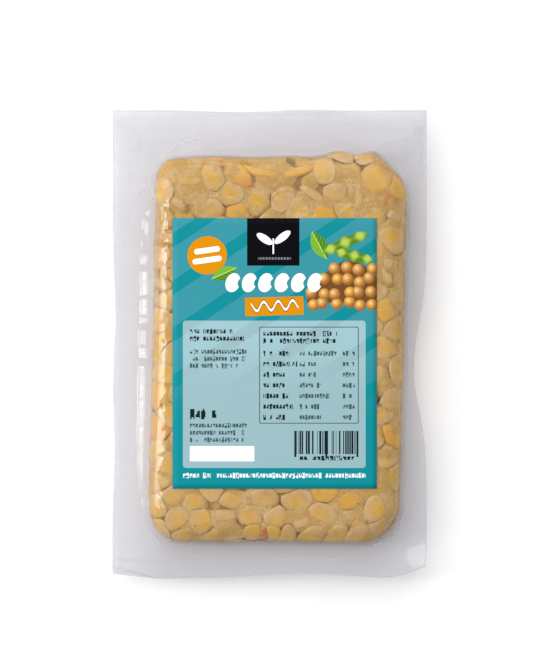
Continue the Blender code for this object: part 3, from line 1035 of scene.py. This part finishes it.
def side_film(side, share, ring):
    """(places over the ground, heights over the seam, how free each point is) along one side of the net."""
    room = np.linalg.norm(outline(side, share, 0.0) - pouch_edge(side, share), axis=-1)
    off_corner = np.clip(np.minimum(share, 1 - share) / 0.3, 0, 1)
    off_corner = off_corner**2 * (3 - 2 * off_corner)
    reach = CORNER_REACH + (FOOT_REACHES[side] - CORNER_REACH) * off_corner
    reach = (reach**-FOOT_BLEND + (FOOT_SHARE * room) ** -FOOT_BLEND) ** (-1 / FOOT_BLEND)
    run, rise = reach + SHOULDER, SEAM_HEIGHT - SHOULDER - SEAM_GAP
    distance = np.hypot(run, rise)
    slope = np.arctan2(rise, run) + np.arcsin(SHOULDER / distance)
    straight = np.sqrt(distance**2 - SHOULDER**2)
    fold = FOLD_RADIUS * np.tan(slope / 2)

    turn = slope * np.clip((ring - FOOT_RING) / (FOLD_RING - FOOT_RING), 0, 1)
    fold_inset = FOLD_RADIUS * np.sin(turn) - reach - fold
    fold_height = SEAM_GAP + FOLD_RADIUS * (1 - np.cos(turn))
    climb = np.clip((ring - FOLD_RING) / (TANGENT_RING - FOLD_RING), 0, 1)
    part = fold + (straight - fold) * climb
    sag = TENT_SAGS.get(side, 0.0) * off_corner * SAG_PEAK * climb**2 * (1 - climb) ** 4
    film_inset = part * np.cos(slope) - reach + sag * np.sin(slope)
    film_height = SEAM_GAP + part * np.sin(slope) - sag * np.cos(slope)
    turn = slope * np.clip((PLATEAU_RING - ring) / (PLATEAU_RING - TANGENT_RING), 0, 1)
    arc_inset = SHOULDER * (1 - np.sin(turn))
    arc_height = SEAM_HEIGHT - SHOULDER * (1 - np.cos(turn))
    zones = [ring <= FOLD_RING, ring <= TANGENT_RING]
    inset = np.select(zones, [fold_inset, film_inset], arc_inset)
    height = np.select(zones, [fold_height, film_height], arc_height)

    place = outline(side, share, -inset)
    free = np.clip(1 - ring / FOOT_RING, 0, 1)
    place += (pouch_edge(side, share) - place) * free[..., None]
    inwards = np.clip((ring - PLATEAU_RING) / (MIDDLE_RING - PLATEAU_RING), 0, 1)
    place += (middle_line(side, share) - place) * inwards[..., None]
    return place, height, free


def film_net():
    """The net's (places, heights over the seam, lifts of the seam, rings), each a grid of columns and rows."""
    column, row = np.mgrid[0 : CELLS_ACROSS + 1, 0 : CELLS_ALONG + 1]
    ring = np.minimum.reduce([column, CELLS_ACROSS - column, row, CELLS_ALONG - row])
    across = (column - ring) / np.maximum(CELLS_ACROSS - 2 * ring, 1)
    along = (row - ring) / (CELLS_ALONG - 2 * ring)
    left, right = column == ring, column == CELLS_ACROSS - ring
    masks = {"top": row == CELLS_ALONG - ring, "bottom": row == ring, "right": right, "left": left}
    place = np.zeros((*ring.shape, 2))
    height = np.zeros(ring.shape)
    free = np.zeros(ring.shape)
    for side, mask in masks.items():
        share = (across if side in ("top", "bottom") else along)[mask]
        place[mask], height[mask], free[mask] = side_film(side, share, ring[mask])
    x, y = place[..., 0] / POUCH_HIGH.x / 2, place[..., 1] / POUCH_HIGH.y / 2
    ripple = np.sin(x * 2.6 * math.pi + 0.6) + np.sin(y * 3.4 * math.pi - 0.9)
    lift = free * RIPPLE / 2 * ripple
    fold, distance = folds(place, 6)
    fading = np.exp(-np.maximum(distance, 0) / SEAM_FOLD_FADE)
    lift += SEAM_FOLD * fading * fold * np.clip((TANGENT_RING - ring) / (TANGENT_RING - FOOT_RING), 0, 1)
    inset = np.minimum(POUCH_HIGH.x - np.abs(place[..., 0]), POUCH_HIGH.y - np.abs(place[..., 1]))
    roll = np.array([noise.noise(Vector((*spot, 0)) / (22 * MM)) for spot in place.reshape(-1, 2)])
    lift += EDGE_ROLL * roll.reshape(ring.shape) * np.clip(1 - inset / EDGE_ROLL_WIDTH, 0, 1) ** 2
    place, lift = bent_corners(place, lift)
    return place, height, lift, ring


def bent_corners(place, lift):
    """The seam with its bottom right corner curled up and its bottom left corner bent back."""
    low = place[..., 1] + POUCH_HIGH.y
    curl = np.clip(1 - np.hypot(POUCH_HIGH.x - place[..., 0], low) / CURL_REACH, 0, 1) ** 1.6
    slant = math.hypot(FOLD_ACROSS, FOLD_UP)
    beyond = FOLD_ACROSS * FOLD_UP - (place[..., 0] + POUCH_HIGH.x) * FOLD_UP - low * FOLD_ACROSS
    beyond = np.maximum(beyond / slant, 0)
    drawn = np.stack((-0.1 * CURL_DRAW * curl, CURL_DRAW * curl + 0.35 * beyond), axis=-1)
    return place + drawn, lift + CURL_RISE * curl - FOLD_SLOPE * beyond


def grid_normals(points, sign):
    normal = np.cross(np.gradient(points, axis=0), np.gradient(points, axis=1)) * sign
    return normal / np.maximum(np.linalg.norm(normal, axis=-1, keepdims=True), 1e-12)


def folds(place, stretch):
    """Soft folds that run away from the cake: about -1 to 1 at each place."""
    distance, _, foot = edge_frame(place.reshape(-1, 2))
    heights = []
    for spot, far in zip(foot, distance):
        where = Vector((*spot, far / stretch))
        sharp = 0.5 - abs(noise.noise(where / (0.5 * PLEAT_LENGTH) + Vector((9, 4, 7))))
        heights.append(noise.noise(where / PLEAT_LENGTH) + 0.7 * sharp)
    return np.reshape(heights, place.shape[:-1]), distance.reshape(place.shape[:-1])


def settled(points, normals, ring, inner, label_zone):
    """How far the film is drawn in: it settles between the beans until it is stretched over their tops."""
    cast = 3 * MM
    obstacle = np.full(ring.shape, FILM_GAP - CORE_DEPTH)
    for index in zip(*np.nonzero(ring >= TANGENT_RING)):
        start, way = Vector(points[index] + normals[index] * cast), Vector(-normals[index])
        _, _, _, distance = inner.ray_cast(start, way, 2 * cast)
        if distance is not None:
            obstacle[index] = max(obstacle[index], cast - distance + FILM_GAP)
    fixed = (ring < TANGENT_RING) | label_zone
    offset = np.zeros(ring.shape)
    for _ in range(SETTLING_STEPS):
        mean = (np.roll(offset, 1, 0) + np.roll(offset, -1, 0) + np.roll(offset, 1, 1) + np.roll(offset, -1, 1)) / 4
        offset = np.where(fixed, 0.0, np.maximum(obstacle, mean - VACUUM))
    return offset


def film(inner, material):
    """Both sheets of film, joined at the pouch's edge."""
    place, height, lift, ring = film_net()
    tent = np.clip((ring - FOOT_RING) / 6, 0, 1) * np.clip((TANGENT_RING + 5 - ring) / 10, 0, 1)
    sheets = []
    for sign in (1, -1):
        points = np.concatenate((place, (SEAM_HEIGHT + lift + sign * height)[..., None]), axis=-1)
        normals = grid_normals(points, sign)
        label_zone = np.zeros(ring.shape, bool)
        if sign > 0:
            x, y = place[..., 0], place[..., 1]
            label_zone = (x > LABEL_LOW.x) & (x < LABEL_HIGH.x) & (y > LABEL_LOW.y) & (y < LABEL_HIGH.y)
        offset = settled(points, normals, ring, inner, label_zone) + PLEAT * tent * folds(place, 3)[0]
        sheets.append(points + normals * offset[..., None])
    clinging = np.clip((ring - TANGENT_RING + 4) / 6, 0, 1)
    inset = np.minimum(POUCH_HIGH.x - np.abs(place[..., 0]), POUCH_HIGH.y - np.abs(place[..., 1]))
    count = ring.size
    number = np.arange(count).reshape(ring.shape)
    corners = (number[:-1, :-1], number[1:, :-1], number[1:, 1:], number[:-1, 1:])
    front = np.stack([corner.ravel() for corner in corners], axis=1)
    faces = front.tolist() + (front[:, ::-1] + count).tolist()
    rim = [*number[:-1, 0], *number[-1, :-1], *number[:0:-1, -1], *number[0, :0:-1]]
    for here, after in zip(rim, rim[1:] + rim[:1]):
        faces.append((int(after), int(here), int(here) + count, int(after) + count))
    points = np.concatenate([sheet.reshape(-1, 3) for sheet in sheets])
    obj = linked("film", mesh_of("film", points, faces), material)
    write_attribute(obj.data, "clinging", np.tile(clinging.ravel(), 2))
    write_attribute(obj.data, "inset", np.tile(inset.ravel(), 2))
    return obj


# ---- The label ----


def label(material):
    """The printed sheet, stuck on flat."""
    width, length = LABEL_HIGH.x - LABEL_LOW.x, LABEL_HIGH.y - LABEL_LOW.y
    columns, rows = round(width / LABEL_CELL), round(length / LABEL_CELL)
    points = []
    for column in range(columns + 1):
        for row in range(rows + 1):
            x = LABEL_LOW.x + width * column / columns
            y = LABEL_LOW.y + length * row / rows
            swell = LABEL_SWELL * (0.5 + 0.5 * noise.noise(Vector((x, y, 0)) / (18 * MM)))
            points.append((x, y, POUCH_HIGH.z + LABEL_GAP + swell))
    number = np.arange(len(points)).reshape(columns + 1, rows + 1)
    corners = (number[:-1, :-1], number[1:, :-1], number[1:, 1:], number[:-1, 1:])
    faces = np.stack([corner.ravel() for corner in corners], axis=1).tolist()
    obj = linked("label_sheet", mesh_of("label_sheet", points, faces), material)
    solid = obj.modifiers.new("thickness", "SOLIDIFY")
    solid.thickness = LABEL_THICKNESS
    solid.offset = 1.0
    return made_plain(obj, "label_sheet", material)


# ---- Stage ----


def floor():
    half = 3.0
    points = [(-half, -half, 0), (half, -half, 0), (half, half, 0), (-half, half, 0)]
    obj = linked("floor", mesh_of("floor", points, [(0, 1, 2, 3)]), floor_finish())
    obj.location.z = POUCH_LOW.z - 0.2 * MM


def area_light(name, place, target, size, power):
    light = bpy.data.lights.new(name, "AREA")
    light.shape = "RECTANGLE"
    light.size, light.size_y = size
    light.energy = power
    obj = bpy.data.objects.new(name, light)
    bpy.context.scene.collection.objects.link(obj)
    obj.location = place
    obj.rotation_euler = (Vector(target) - Vector(place)).to_track_quat("-Z", "Y").to_euler()


def lights():
    area_light("key", (-0.14, 1.0, 1.08), (0.0, 0.0, 0.0), (1.9, 1.9), 20.6)
    area_light("left_panel", (-0.61, -0.05, 0.222), (0.0, -0.02, 0.0), (0.25, 0.32), 1.2)
    area_light("left_window", (-0.52, 0.0, 0.47), (0.0, 0.0, 0.0), (0.13, 0.3), 1.05)
    world = bpy.data.worlds.new("studio")
    world.use_nodes = True
    background = world.node_tree.nodes["Background"]
    background.inputs["Color"].default_value = (1.0, 1.0, 1.0, 1.0)
    background.inputs["Strength"].default_value = 0.54
    bpy.context.scene.world = world


def camera():
    """Looks straight down on the front. The view is 0.2331 m long at the seam's height."""
    view_length, aim = 0.2331, (-1.05 * MM, 4.0 * MM)
    lens = bpy.data.cameras.new("camera")
    lens.lens = 200
    lens.sensor_width = 36
    obj = bpy.data.objects.new("camera", lens)
    bpy.context.scene.collection.objects.link(obj)
    obj.location = (*aim, SEAM_HEIGHT + view_length * lens.lens / lens.sensor_width)
    lens.clip_end = 100
    bpy.context.scene.camera = obj


# ---- The whole ----


def build():
    scene = bpy.context.scene
    scene.view_settings.view_transform = "Standard"
    bean_pieces = beans(bean_finish())
    core = slab("threads", CORE_DEPTH, 1.2 * MM, thread_finish(), CORE_RELIEF)
    inner = BVHTree.FromObject(bean_pieces, bpy.context.evaluated_depsgraph_get())
    skin = film(inner, film_finish())
    for obj in (bean_pieces, core, skin):
        uneven_edge(obj)
    sheet = label(label_finish())
    for obj in (bean_pieces, core, skin):
        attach(obj, "root")
        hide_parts("pouch")
    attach(sheet, "root")
    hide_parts("label")
    floor()
    lights()
    camera()


build()
